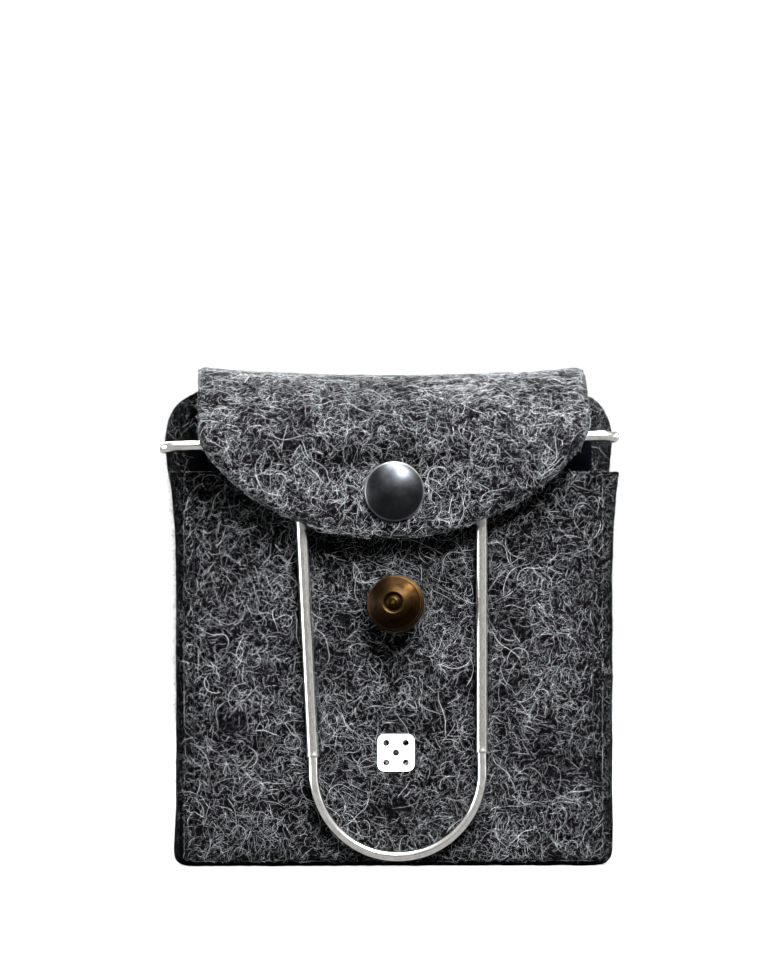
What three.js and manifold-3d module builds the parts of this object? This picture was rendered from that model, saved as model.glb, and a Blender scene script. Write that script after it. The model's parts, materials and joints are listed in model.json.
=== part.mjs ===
// Felt carry case with a wire bail, a snap flap and a turned brass knob.
// Units are millimetres. +X is right, +Y is back, +Z is up, and the case rests on z = 0.
import * as THREE from 'three';
import { mergeVertices } from 'three/addons/utils/BufferGeometryUtils.js';
import Module from 'manifold-3d';

const wasm = await Module();
wasm.setup();

const DEG = Math.PI / 180;

// ---- Driving dimensions --------------------------------------------------------------------

const FELT = 2.2;                 // thickness of every felt piece
const CLEAR = 0.3;                // gap left between neighbouring pieces
const DEPTH = 40;                 // outer depth over the front and back panels
const FRONT_HALF_WIDTH = 52.5;
const MOUTH_Z = 99;               // top edge of the front panel and of the gusset
const PANEL_FOOT_Z = 1.3;         // the panels stop short of the ground
const GUSSET_HALF_WIDTH = 54.5;
const MOUTH_FLARE = 1.7;          // how far each side of the gusset leans out at the mouth
const FOOT_FLARE = 0.6;
const SEAM_X = 50;
const SEAM_ALLOWANCE = 7;         // width of the gusset's turned-in edges

const FOLD_Z = 119.6;             // height of the line the flap folds about
const FLAP_HALF_WIDTH = 49;
const FLAP_CORNER_Z = 109;        // where the flap's straight sides end
const FLAP_TIP_Z = 82;
const FLAP_CURVE = 1.4;           // roundness of the flap's lower edge, 2 would be an ellipse
const FLAP_SKEW = 0.026;          // the rounded edge hangs a little lower on the left
const FLAP_SAG = 2.4;
const FLAP_STANDOFF = 2.4;

const BOX_HALF_WIDTH = 50.1;
const BOX_TOP_Z = 110;
const BOX_WALL = 1.6;

const SNAP_Z = 94;
const SNAP_CAP_RADIUS = 7.45;
const SNAP_PULL = 1.3;            // how far the flap is drawn in by the snap

const WIRE_RADIUS = 1.2;
const SLEEVE_RADIUS = 1.42;
const BAIL = {
  centre: new THREE.Vector3(-1, -21.75, 106.5),
  lean: 1.4 * DEG,                // the whole bail hangs slightly askew
  tipX: 57.6,
  legTopX: 23,
  bowRadius: 21.1,
  sleeveEnd: -78.5,
  bowCentre: -82.65,
  cornerRadius: 3.5,
};
const CLIP_X = 38;

const KNOB_RADIUS = 7.15;
const KNOB_FOOT = new THREE.Vector3(0.86, -20.95, 65.7);
const KNOB_AXIS = new THREE.Vector3(-0.171, -0.98, 0.096).normalize();
const SHANK_RADIUS = 1.5;

// ---- Levels through the depth, from front to back ------------------------------------------

const FRONT_Y = -DEPTH / 2;
const FRONT_INNER_Y = FRONT_Y + FELT;
const GUSSET_FRONT_Y = FRONT_INNER_Y + CLEAR;
const BOX_FRONT_Y = GUSSET_FRONT_Y + FELT + CLEAR;
const BOX_INNER_Y = BOX_FRONT_Y + BOX_WALL;
const BACK_Y = DEPTH / 2;
const BACK_INNER_Y = BACK_Y - FELT;
const FLAP_FRONT_Y = -25;         // mid-plane of the flap where it hangs in front of the bail

// ---- Materials -----------------------------------------------------------------------------

const FINISHES = {
  felt: { color: 0x3a3b3e, roughness: 1.0, metalness: 0 },
  liner: { color: 0x15171c, roughness: 0.45, metalness: 0 },
  thread: { color: 0x101113, roughness: 0.9, metalness: 0 },
  gunmetal: { color: 0x4b4f55, roughness: 0.32, metalness: 1 },
  steel: { color: 0xd2d0cb, roughness: 0.2, metalness: 1 },
  brass: { color: 0x8d6630, roughness: 0.35, metalness: 1 },
  print: { color: 0xf4f4f2, roughness: 0.7, metalness: 0 },
};

const model = new THREE.Group();
model.name = 'carry_case';

function addPart(name, finish, geometry) {
  const part = new THREE.Mesh(geometry, new THREE.MeshStandardMaterial(FINISHES[finish]));
  part.name = name;
  model.add(part);
}

// ---- Solids --------------------------------------------------------------------------------

function toSolid(geometry) {
  const bare = geometry.clone();
  bare.deleteAttribute('normal');
  bare.deleteAttribute('uv');
  const merged = mergeVertices(bare, 1e-4);
  return new wasm.Manifold(new wasm.Mesh({
    numProp: 3,
    vertProperties: new Float32Array(merged.attributes.position.array),
    triVerts: new Uint32Array(merged.index.array),
  }));
}

function toGeometry(solid) {
  const mesh = solid.getMesh();
  const geometry = new THREE.BufferGeometry();
  geometry.setAttribute('position', new THREE.BufferAttribute(mesh.vertProperties, 3));
  geometry.setIndex(new THREE.BufferAttribute(mesh.triVerts, 1));
  geometry.computeVertexNormals();
  return geometry;
}

function union(...geometries) {
  return toGeometry(geometries.map(toSolid).reduce((whole, piece) => whole.add(piece)));
}

function cut(geometry, ...tools) {
  return toGeometry(tools.map(toSolid).reduce((whole, tool) => whole.subtract(tool), toSolid(geometry)));
}

// A flat piece whose outline is drawn in x and z, filling the depth from frontY to backY.
function slab(outline, frontY, backY, curveSegments = 6) {
  const settings = { depth: backY - frontY, bevelEnabled: false, curveSegments };
  return new THREE.ExtrudeGeometry(outline, settings).rotateX(Math.PI / 2).translate(0, backY, 0);
}

// Lays a shape made along +Y from the origin onto an axis.
function onAxis(geometry, origin, direction) {
  const turn = new THREE.Quaternion().setFromUnitVectors(new THREE.Vector3(0, 1, 0), direction);
  return geometry.applyQuaternion(turn).translate(origin.x, origin.y, origin.z);
}

// A turned piece: profile pairs are [radius, distance towards the front from y].
function turned(profile, x, y, z, segments = 32) {
  const points = profile.map(([radius, out]) => new THREE.Vector2(radius, out));
  const towardsFront = new THREE.Vector3(0, -1, 0);
  return onAxis(new THREE.LatheGeometry(points, segments), new THREE.Vector3(x, y, z), towardsFront);
}

// A straight pin or drill of the given radius between two points.
function rod(radius, from, to, segments = 20) {
  const length = from.distanceTo(to);
  const along = to.clone().sub(from).normalize();
  const pin = new THREE.CylinderGeometry(radius, radius, length, segments).translate(0, length / 2, 0);
  return onAxis(pin, from, along);
}

function drillThroughDepth(radius, x, z, frontY, backY) {
  return rod(radius, new THREE.Vector3(x, frontY, z), new THREE.Vector3(x, backY, z));
}

function box(x0, x1, y0, y1, z0, z1) {
  const block = new THREE.BoxGeometry(x1 - x0, y1 - y0, z1 - z0);
  return block.translate((x0 + x1) / 2, (y0 + y1) / 2, (z0 + z1) / 2);
}

function smoothstep(low, high, value) {
  return THREE.MathUtils.smoothstep(value, low, high);
}

// Traces half outlines on the right and mirrors them into one closed shape.
function mirroredShape(rightSide) {
  const leftSide = rightSide.filter((point) => point.x > 0).reverse();
  return new THREE.Shape([...rightSide, ...leftSide.map((point) => new THREE.Vector2(-point.x, point.y))]);
}

// ---- Felt body -----------------------------------------------------------------------------

function gussetOuterX(z) {
  const mouth = Math.max(0, (z - 72) / (MOUTH_Z - 72));
  const foot = Math.max(0, (20 - z) / 20);
  return GUSSET_HALF_WIDTH + MOUTH_FLARE * mouth ** 2 + FOOT_FLARE * foot ** 2;
}

// Right-hand side of the gusset, inset from its outer surface, from the ground up to the mouth.
function gussetSide(inset) {
  const cornerRadius = Math.max(0.8, 3.4 - inset);
  const points = [];
  const cornerX = gussetOuterX(0) - inset - cornerRadius;
  for (let step = 0; step <= 4; step += 1) {
    const angle = (step / 4) * 90 * DEG;
    points.push(new THREE.Vector2(
      cornerX + cornerRadius * Math.sin(angle),
      inset + cornerRadius * (1 - Math.cos(angle)),
    ));
  }
  for (const z of [14, 20, 40, 60, 72, 80, 86, 92, 96, MOUTH_Z]) {
    points.push(new THREE.Vector2(gussetOuterX(z) - inset, z));
  }
  return points;
}

// A U-shaped band as wide as bandWidth, open at the mouth.
function gussetBand(bandWidth) {
  const outer = gussetSide(0);
  const inner = gussetSide(bandWidth);
  const rightHalf = [...outer, ...inner.reverse()];
  const leftHalf = rightHalf.map((point) => new THREE.Vector2(-point.x, point.y)).reverse();
  return new THREE.Shape([...rightHalf, ...leftHalf]);
}

const gusset = union(
  slab(gussetBand(FELT), GUSSET_FRONT_Y, -GUSSET_FRONT_Y),
  slab(gussetBand(SEAM_ALLOWANCE), GUSSET_FRONT_Y, GUSSET_FRONT_Y + FELT),
  slab(gussetBand(SEAM_ALLOWANCE), -GUSSET_FRONT_Y - FELT, -GUSSET_FRONT_Y),
);
addPart('gusset', 'felt', gusset);

const shankTip = KNOB_FOOT.clone().addScaledVector(KNOB_AXIS, -11.5);
const shankHead = KNOB_FOOT.clone().addScaledVector(KNOB_AXIS, 4);

function knobAxisAt(y) {
  return KNOB_FOOT.clone().addScaledVector(KNOB_AXIS, (y - KNOB_FOOT.y) / KNOB_AXIS.y);
}

const shankDrill = rod(SHANK_RADIUS + CLEAR, shankTip, KNOB_FOOT.clone().addScaledVector(KNOB_AXIS, 6));
const studDrill = drillThroughDepth(1.4 + CLEAR, 0, SNAP_Z, FRONT_Y - 1, FRONT_INNER_Y + 1);

const frontOutline = mirroredShape([
  new THREE.Vector2(FRONT_HALF_WIDTH - 1.2, PANEL_FOOT_Z),
  new THREE.Vector2(FRONT_HALF_WIDTH, PANEL_FOOT_Z + 1.2),
  new THREE.Vector2(FRONT_HALF_WIDTH, MOUTH_Z - 0.8),
  new THREE.Vector2(FRONT_HALF_WIDTH - 0.8, MOUTH_Z),
]);
addPart('front_panel', 'felt', cut(slab(frontOutline, FRONT_Y, FRONT_INNER_Y), shankDrill, studDrill));

// The back panel widens into rounded shoulders beside the neck that the flap folds on.
const shoulder = new THREE.SplineCurve([
  new THREE.Vector2(FRONT_HALF_WIDTH, 62),
  new THREE.Vector2(53.4, 80),
  new THREE.Vector2(55.5, 92),
  new THREE.Vector2(57.0, 100),
  new THREE.Vector2(57.5, 107.5),
  new THREE.Vector2(56.6, 112.6),
  new THREE.Vector2(54.0, 116.8),
  new THREE.Vector2(FLAP_HALF_WIDTH + 0.4, FOLD_Z - CLEAR / 2),
]);
const backOutline = mirroredShape([
  new THREE.Vector2(FRONT_HALF_WIDTH - 1.2, PANEL_FOOT_Z),
  new THREE.Vector2(FRONT_HALF_WIDTH, PANEL_FOOT_Z + 1.2),
  ...shoulder.getPoints(28),
]);
addPart('back_panel', 'felt', slab(backOutline, BACK_INNER_Y, BACK_Y));

// ---- Flap ----------------------------------------------------------------------------------

// Middle of the flap's thickness, seen from the side, from the fold over the top to the tip.
const flapPath = new THREE.CatmullRomCurve3([
  new THREE.Vector3(0, BACK_Y - FELT / 2, FOLD_Z + CLEAR / 2),
  new THREE.Vector3(0, 18.8, 121.3),
  new THREE.Vector3(0, 17.4, 123.2),
  new THREE.Vector3(0, 14.2, 124.3),
  new THREE.Vector3(0, 8.5, 124.65),
  new THREE.Vector3(0, 2.0, 124.4),
  new THREE.Vector3(0, -5.0, 123.1),
  new THREE.Vector3(0, -11.5, 120.8),
  new THREE.Vector3(0, -17.2, 117.6),
  new THREE.Vector3(0, -21.8, 113.7),
  new THREE.Vector3(0, -24.8, 109.6),
  new THREE.Vector3(0, -26.0, 106.3),
  new THREE.Vector3(0, -25.8, 103.0),
  new THREE.Vector3(0, FLAP_FRONT_Y, 100.2),
  new THREE.Vector3(0, FLAP_FRONT_Y, SNAP_Z),
  new THREE.Vector3(0, FLAP_FRONT_Y, 88),
  new THREE.Vector3(0, FLAP_FRONT_Y, FLAP_TIP_Z - 0.5),
], false, 'centripetal');
const flapPathLength = flapPath.getLength();

function flapEndZ(x) {
  const across = Math.min(1, Math.abs(x) / FLAP_HALF_WIDTH);
  const rounding = (FLAP_CORNER_Z - FLAP_TIP_Z) * (1 - across ** 2) ** (1 / FLAP_CURVE);
  return FLAP_CORNER_Z + FLAP_SKEW * x - rounding;
}

// Share of the path's length at which it comes down to a height on the front side.
function pathShareAtHeight(height) {
  let low = 0.3;
  let high = 1;
  for (let step = 0; step < 30; step += 1) {
    const middle = (low + high) / 2;
    if (flapPath.getPointAt(middle).z > height) {
      low = middle;
    } else {
      high = middle;
    }
  }
  return low;
}

const FLAP_LEVEL_ROWS = 0.6;
const flapLevelShare = pathShareAtHeight(FLAP_CORNER_Z + 3);

function flapPoint(x, share, thicknessOffset) {
  const middle = flapPath.getPointAt(share);
  const tangent = flapPath.getTangentAt(share);
  const fromFold = share * flapPathLength;
  const point = new THREE.Vector3(
    x,
    middle.y - tangent.z * thicknessOffset,
    middle.z + tangent.y * thicknessOffset,
  );
  const across = x / FLAP_HALF_WIDTH;
  const sag = smoothstep(0, 7, fromFold) * Math.exp(-(((fromFold - 13) / 14) ** 2));
  point.z -= FLAP_SAG * (1 - across ** 2) * sag;
  const fromSnap = Math.hypot(x, middle.z - SNAP_Z);
  const lower = smoothstep(45, 59, fromFold);
  point.y += SNAP_PULL * lower * (1 - smoothstep(8.6, 18, fromSnap));
  point.y -= FLAP_STANDOFF * lower * smoothstep(26, FLAP_HALF_WIDTH, Math.abs(x));
  return point;
}

// Rows are level down to where the sides end, and fan out below that to follow the rounded edge.
function flapRowShare(x, row) {
  if (row < FLAP_LEVEL_ROWS) {
    return flapLevelShare * (row / FLAP_LEVEL_ROWS);
  }
  const below = (row - FLAP_LEVEL_ROWS) / (1 - FLAP_LEVEL_ROWS);
  return THREE.MathUtils.lerp(flapLevelShare, pathShareAtHeight(flapEndZ(x)), below);
}

function flapGeometry(columns, rows) {
  const sheet = new THREE.BoxGeometry(2, 1, 1, columns, rows, 1);
  const positions = sheet.attributes.position;
  for (let index = 0; index < positions.count; index += 1) {
    const x = FLAP_HALF_WIDTH * Math.sin(positions.getX(index) * 90 * DEG);
    const share = flapRowShare(x, positions.getY(index) + 0.5);
    const point = flapPoint(x, share, positions.getZ(index) * FELT);
    positions.setXYZ(index, point.x, point.y, point.z);
  }
  return sheet;
}

const postDrill = drillThroughDepth(1.5 + CLEAR, 0, SNAP_Z, FLAP_FRONT_Y - 3, FLAP_FRONT_Y + 5);
addPart('flap', 'felt', cut(flapGeometry(24, 25), postDrill));

// ---- Rigid inner box -----------------------------------------------------------------------

function roundedRectangle(halfWidth, halfHeight, radius) {
  const shape = new THREE.Shape();
  shape.absarc(halfWidth - radius, halfHeight - radius, radius, 0, 90 * DEG);
  shape.absarc(radius - halfWidth, halfHeight - radius, radius, 90 * DEG, 180 * DEG);
  shape.absarc(radius - halfWidth, radius - halfHeight, radius, 180 * DEG, 270 * DEG);
  shape.absarc(halfWidth - radius, radius - halfHeight, radius, 270 * DEG, 360 * DEG);
  return shape;
}

function upright(outline, bottomZ, topZ) {
  const settings = { depth: topZ - bottomZ, bevelEnabled: false, curveSegments: 4 };
  return new THREE.ExtrudeGeometry(outline, settings).translate(0, 0, bottomZ);
}

const clips = [['left', -1], ['right', 1]].map(([side, sign]) => ({
  side,
  x: BAIL.centre.x + sign * CLIP_X * Math.cos(BAIL.lean),
  z: BAIL.centre.z + sign * CLIP_X * Math.sin(BAIL.lean),
}));
const RIVET_DROP = 3.7;           // rivets sit this far below the wire
const RIVET_RADIUS = 0.9;

const boxFloorZ = FELT + CLEAR;
const boxOutside = roundedRectangle(BOX_HALF_WIDTH, -BOX_FRONT_Y, 2.2);
const boxInside = roundedRectangle(BOX_HALF_WIDTH - BOX_WALL, -BOX_INNER_Y, 0.8);
addPart('inner_box', 'liner', cut(
  upright(boxOutside, boxFloorZ, BOX_TOP_Z),
  upright(boxInside, boxFloorZ + BOX_WALL, BOX_TOP_Z + 1),
  shankDrill,
  ...clips.map((clip) => (
    drillThroughDepth(RIVET_RADIUS + CLEAR, clip.x, clip.z - RIVET_DROP, BOX_FRONT_Y - 1, BOX_INNER_Y + 1)
  )),
));

// ---- Snap fastener -------------------------------------------------------------------------

const studFaceY = FRONT_Y - 0.25;
const socketBackY = studFaceY - 0.9;
const flapOuterAtSnapY = FLAP_FRONT_Y + SNAP_PULL - FELT / 2;

addPart('snap_stud', 'gunmetal', turned([
  [1.7, 0], [5.2, 0], [5.2, 0.35], [4.9, 0.6], [2.5, 0.6], [2.1, 0.8], [2.3, 1.15], [1.9, 1.4],
  [0, 1.4], [0, 0.7], [1.7, 0.7], [1.7, 0],
], 0, studFaceY, SNAP_Z));

addPart('snap_stud_post', 'gunmetal', turned([
  [0, 0], [4.6, 0], [4.6, 0.5], [1.4, 0.5], [1.4, 3.2], [0, 3.2],
], 0, FRONT_INNER_Y + 0.75, SNAP_Z));

addPart('snap_socket', 'gunmetal', turned([
  [3.5, 0], [5.6, 0], [6.0, 0.4], [6.0, 1.0], [5.8, 1.2], [1.8, 1.2], [1.8, 0.85], [3.5, 0.85], [3.5, 0],
], 0, socketBackY, SNAP_Z));

addPart('snap_post', 'gunmetal', rod(
  1.5,
  new THREE.Vector3(0, socketBackY - 0.95, SNAP_Z),
  new THREE.Vector3(0, flapOuterAtSnapY - 0.95, SNAP_Z),
  24,
));

addPart('snap_cap', 'gunmetal', turned([
  [1.8, 0], [SNAP_CAP_RADIUS - 0.3, 0], [SNAP_CAP_RADIUS, 0.25], [SNAP_CAP_RADIUS - 0.05, 0.65],
  [6.95, 0.98], [6.0, 1.56], [4.6, 2.16], [3.0, 2.58], [1.5, 2.8], [0, 2.87],
  [0, 1.1], [1.8, 1.1], [1.8, 0],
], 0, flapOuterAtSnapY - CLEAR, SNAP_Z, 48));

// ---- Brass knob ----------------------------------------------------------------------------

const knobProfile = [
  [1.8, 0], [4.4, 0], [4.6, 1.0], [6.9, 1.25], [KNOB_RADIUS, 1.5], [KNOB_RADIUS, 2.7], [6.95, 2.9],
  [6.62, 3.0], [6.62, 3.45], [6.95, 3.55], [6.98, 4.7], [6.8, 4.95], [6.55, 5.05], [6.5, 5.35],
  [6.65, 5.45], [6.55, 5.85], [6.15, 6.2], [2.8, 7.15], [2.55, 7.05], [2.2, 6.65],
  [1.95, 6.6], [1.68, 6.75], [1.6, 7.2], [1.2, 7.55], [0, 7.7], [0, 4.3], [1.8, 4.3], [1.8, 0],
].map(([radius, out]) => new THREE.Vector2(radius, out));
addPart('knob', 'brass', onAxis(new THREE.LatheGeometry(knobProfile, 32), KNOB_FOOT, KNOB_AXIS));

addPart('knob_shank', 'steel', rod(SHANK_RADIUS, shankTip, shankHead));

const spacerCentre = knobAxisAt(FRONT_INNER_Y + 1.3);
addPart('knob_spacer', 'steel', turned([
  [2.4, 0], [5, 0], [5, 2.0], [2.4, 2.0], [2.4, 0],
], spacerCentre.x, BOX_FRONT_Y - 0.3, spacerCentre.z));

const nutCentre = knobAxisAt(BOX_INNER_Y + 1.6);
const nutBlank = rod(
  3.6,
  new THREE.Vector3(nutCentre.x, BOX_INNER_Y + CLEAR, nutCentre.z),
  new THREE.Vector3(nutCentre.x, BOX_INNER_Y + CLEAR + 2.4, nutCentre.z),
  6,
);
addPart('knob_nut', 'steel', cut(nutBlank, shankDrill));

// ---- Wire bail -----------------------------------------------------------------------------

// A path given by its own stations, so that bends get more of them than straight lengths.
class StationPath extends THREE.Curve {
  constructor(stations) {
    super();
    this.stations = stations;
  }

  station(index) {
    return this.stations[THREE.MathUtils.clamp(index, 0, this.stations.length - 1)];
  }

  getPointAt(share, target = new THREE.Vector3()) {
    return target.copy(this.station(Math.round(share * (this.stations.length - 1))));
  }

  getTangentAt(share, target = new THREE.Vector3()) {
    const index = Math.round(share * (this.stations.length - 1));
    const before = this.station(index).clone().sub(this.station(index - 1)).normalize();
    const after = this.station(index + 1).clone().sub(this.station(index)).normalize();
    return target.copy(before.add(after).normalize());
  }
}

function tubeAlong(stations, radius, sides) {
  const section = new THREE.Shape();
  section.absarc(0, 0, radius, 0, 360 * DEG);
  const settings = {
    steps: stations.length - 1,
    curveSegments: sides,
    bevelEnabled: false,
    extrudePath: new StationPath(stations),
  };
  return new THREE.ExtrudeGeometry(section, settings);
}

function legX(height) {
  const share = height / BAIL.sleeveEnd;
  return THREE.MathUtils.lerp(BAIL.legTopX, BAIL.bowRadius, Math.min(1, share));
}

// Right half of the bail about its own centre, from the stub at the end of the arm to the bow.
function bailRightStations() {
  const stations = [];
  const stubBend = 2.6;
  const stubX = BAIL.tipX - WIRE_RADIUS;
  for (const back of [5.2, 4.2, stubBend]) {
    stations.push(new THREE.Vector3(stubX, back, -0.16 * (back - stubBend + 1)));
  }
  for (let step = 1; step <= 5; step += 1) {
    const angle = (step / 5) * 90 * DEG;
    stations.push(new THREE.Vector3(
      stubX - stubBend * (1 - Math.cos(angle)),
      stubBend * (1 - Math.sin(angle)),
      -0.16 * Math.cos(angle),
    ));
  }
  stations.push(new THREE.Vector3((stubX + BAIL.legTopX) / 2, 0, 0));
  const bend = BAIL.cornerRadius;
  for (let step = 0; step <= 5; step += 1) {
    const angle = (step / 5) * 90 * DEG;
    stations.push(new THREE.Vector3(
      BAIL.legTopX + bend * (1 - Math.sin(angle)),
      0,
      -bend * (1 - Math.cos(angle)),
    ));
  }
  for (const height of [-30, -54, BAIL.sleeveEnd]) {
    stations.push(new THREE.Vector3(legX(height), 0, height));
  }
  for (let step = 0; step < 12; step += 1) {
    const angle = (step / 12) * 90 * DEG;
    stations.push(new THREE.Vector3(
      BAIL.bowRadius * Math.cos(angle),
      0,
      BAIL.bowCentre - BAIL.bowRadius * Math.sin(angle),
    ));
  }
  return stations;
}

function hangBail(geometry) {
  return geometry.rotateY(-BAIL.lean).translate(BAIL.centre.x, BAIL.centre.y, BAIL.centre.z);
}

const rightStations = bailRightStations();
const bowBottom = new THREE.Vector3(0, 0, BAIL.bowCentre - BAIL.bowRadius);
const leftStations = rightStations.map((station) => new THREE.Vector3(-station.x, station.y, station.z));
addPart('bail_wire', 'steel', hangBail(
  tubeAlong([...rightStations, bowBottom, ...leftStations.reverse()], WIRE_RADIUS, 7),
));

const sleeveProfile = (length) => [
  [1.28, 0], [1.52, 0], [1.6, 0.25], [1.6, 0.6], [SLEEVE_RADIUS, 0.95], [SLEEVE_RADIUS, length - 0.1],
  [1.36, length], [1.28, length], [1.28, 0],
].map(([radius, along]) => new THREE.Vector2(radius, along));

for (const [side, sign] of [['left', -1], ['right', 1]]) {
  const foot = new THREE.Vector3(sign * legX(BAIL.sleeveEnd), 0, BAIL.sleeveEnd);
  const head = new THREE.Vector3(sign * legX(-7), 0, -7);
  const along = head.clone().sub(foot);
  const tube = new THREE.LatheGeometry(sleeveProfile(along.length()), 24);
  addPart(`bail_sleeve_${side}`, 'steel', hangBail(onAxis(tube, foot, along.normalize())));
}

// ---- Clips that carry the bail -------------------------------------------------------------

const EYE_RADIUS = 2.3;
const CLIP_WIDTH = 6;

for (const clip of clips) {
  const left = clip.x - CLIP_WIDTH / 2;
  const right = clip.x + CLIP_WIDTH / 2;
  const alongEye = (x) => new THREE.Vector3(x, BAIL.centre.y, clip.z);
  const eyeDrill = rod(WIRE_RADIUS + CLEAR, alongEye(left - 1), alongEye(right + 1), 24);
  const footFrontY = BOX_FRONT_Y - CLEAR - 1.1;
  const footBackY = BOX_FRONT_Y - CLEAR;
  const rivetZ = clip.z - RIVET_DROP;
  addPart(`rail_clip_${clip.side}`, 'steel', cut(
    union(
      rod(EYE_RADIUS, alongEye(left), alongEye(right), 28),
      box(left, right, BAIL.centre.y, footBackY - 0.2, clip.z - 0.6, clip.z + 0.6),
      box(left, right, footFrontY, footBackY, clip.z - 5.6, clip.z + 1.6),
    ),
    eyeDrill,
    drillThroughDepth(RIVET_RADIUS + CLEAR, clip.x, rivetZ, footFrontY - 1, footBackY + 1),
  ));
  const rivetLength = BOX_INNER_Y + CLEAR - (footFrontY - CLEAR);
  addPart(`clip_rivet_${clip.side}`, 'steel', turned([
    [0, -0.7], [1.7, -0.7], [1.7, 0], [RIVET_RADIUS, 0], [RIVET_RADIUS, rivetLength],
    [1.7, rivetLength], [1.5, rivetLength + 0.5], [0.8, rivetLength + 0.75], [0, rivetLength + 0.8],
  ], clip.x, BOX_INNER_Y + CLEAR, rivetZ, 20));
}

// ---- Seam threads and the printed emblem ---------------------------------------------------

const THREAD_RADIUS = 0.3;
for (const [face, y] of [['front', FRONT_Y - 0.42], ['back', BACK_Y + 0.42]]) {
  for (const [side, sign] of [['left', -1], ['right', 1]]) {
    addPart(`seam_${face}_${side}`, 'thread', rod(
      THREAD_RADIUS,
      new THREE.Vector3(sign * SEAM_X, y, PANEL_FOOT_Z + 2.5),
      new THREE.Vector3(sign * SEAM_X, y, MOUTH_Z - 2),
      8,
    ));
  }
}

// A die face: a rounded square with five open pips.
const EMBLEM = { x: 0.6, z: 28.6, halfSize: 4.6, pip: 0.85, spread: 2.45 };
const emblemOutline = roundedRectangle(EMBLEM.halfSize, EMBLEM.halfSize, 1.7);
for (const [across, up] of [[0, 0], [1, 1], [1, -1], [-1, 1], [-1, -1]]) {
  const pip = new THREE.Path();
  pip.absarc(across * EMBLEM.spread, up * EMBLEM.spread, EMBLEM.pip, 0, 360 * DEG, true);
  emblemOutline.holes.push(pip);
}
const emblem = slab(emblemOutline, FRONT_Y - 0.4, FRONT_Y - 0.12, 8);
addPart('emblem', 'print', emblem.translate(EMBLEM.x, 0, EMBLEM.z));

export default model;
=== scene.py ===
import json
import math

import bpy
import numpy as np
from mathutils import Matrix, Vector, noise
from mathutils.bvhtree import BVHTree


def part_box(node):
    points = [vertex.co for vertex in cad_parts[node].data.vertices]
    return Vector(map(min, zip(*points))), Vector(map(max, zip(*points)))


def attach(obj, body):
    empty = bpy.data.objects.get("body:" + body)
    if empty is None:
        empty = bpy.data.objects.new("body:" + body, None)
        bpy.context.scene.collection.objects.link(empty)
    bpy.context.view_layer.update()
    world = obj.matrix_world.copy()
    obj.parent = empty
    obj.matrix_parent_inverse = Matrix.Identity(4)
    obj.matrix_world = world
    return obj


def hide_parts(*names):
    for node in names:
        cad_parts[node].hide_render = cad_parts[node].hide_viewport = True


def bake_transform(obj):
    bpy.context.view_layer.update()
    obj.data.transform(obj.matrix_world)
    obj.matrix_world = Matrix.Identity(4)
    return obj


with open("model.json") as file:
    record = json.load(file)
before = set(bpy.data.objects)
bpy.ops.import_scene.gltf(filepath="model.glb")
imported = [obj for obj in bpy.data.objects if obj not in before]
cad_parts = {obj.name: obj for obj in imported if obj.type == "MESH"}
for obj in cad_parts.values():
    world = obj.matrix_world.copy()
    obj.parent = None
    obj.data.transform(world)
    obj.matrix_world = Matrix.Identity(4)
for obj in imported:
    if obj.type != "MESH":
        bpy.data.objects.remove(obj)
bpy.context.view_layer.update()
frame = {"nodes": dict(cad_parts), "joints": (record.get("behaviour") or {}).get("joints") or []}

MM = 0.001

# ------------------------------------------------------------------------- measures of the case
FRONT_LO, FRONT_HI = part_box("front_panel")
BACK_LO, BACK_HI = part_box("back_panel")
FLAP_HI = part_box("flap")[1]
SEAM_X = (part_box("seam_front_right")[0].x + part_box("seam_front_right")[1].x) / 2
SEAM_LOW, SEAM_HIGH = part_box("seam_front_right")[0].z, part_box("seam_front_right")[1].z
JOINTS = {joint["name"]: joint for joint in frame["joints"]}
BAIL_CENTRE = Vector(JOINTS["bail_hinge"]["pos_m"])
BAIL_AXIS = -Vector(JOINTS["bail_hinge"]["axis"]).normalized()
KNOB_FOOT = Vector(JOINTS["knob_turn"]["pos_m"])
KNOB_AXIS = Vector(JOINTS["knob_turn"]["axis"]).normalized()
SNAP_CENTRE = (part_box("snap_cap")[0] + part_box("snap_cap")[1]) / 2
STITCH = 3.3 * MM
SEAM_OVERRUN = 1.5 * MM   # how far a sewn channel runs on past its seam, fading over the last millimetre
GUSSET_PROUD = 0.7 * MM   # how far the gusset's right side stands out past its CAD solid
GUSSET_FOOT = 14 * MM     # it comes out by that much over this height, from the ground up


# ------------------------------------------------------------------------- meshes
def add_mesh(name, vertices, faces, smooth=True):
    """One object from a vertex array and a list of face arrays, each (count, corners)."""
    mesh = bpy.data.meshes.new(name)
    vertices = np.ascontiguousarray(vertices, np.float32)
    groups = [np.asarray(group, np.int32) for group in faces if len(group)]
    sizes = np.concatenate([np.full(len(group), group.shape[1], np.int32) for group in groups])
    corners = np.concatenate([group.reshape(-1) for group in groups])
    mesh.vertices.add(len(vertices))
    mesh.vertices.foreach_set("co", vertices.reshape(-1))
    mesh.loops.add(len(corners))
    mesh.loops.foreach_set("vertex_index", corners)
    mesh.polygons.add(len(sizes))
    mesh.polygons.foreach_set("loop_start", np.concatenate([[0], np.cumsum(sizes)[:-1]]).astype(np.int32))
    mesh.polygons.foreach_set("use_smooth", np.full(len(sizes), smooth))
    mesh.update(calc_edges=True)
    mesh.validate()
    made = bpy.data.objects.new(name, mesh)
    bpy.context.scene.collection.objects.link(made)
    return made


def read_vertices(mesh):
    co = np.empty(len(mesh.vertices) * 3, np.float32)
    mesh.vertices.foreach_get("co", co)
    return co.reshape(-1, 3).astype(float)


def read_normals(mesh):
    normals = np.empty(len(mesh.vertices) * 3, np.float32)
    mesh.vertex_normals.foreach_get("vector", normals)
    return normals.reshape(-1, 3).astype(float)


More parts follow.
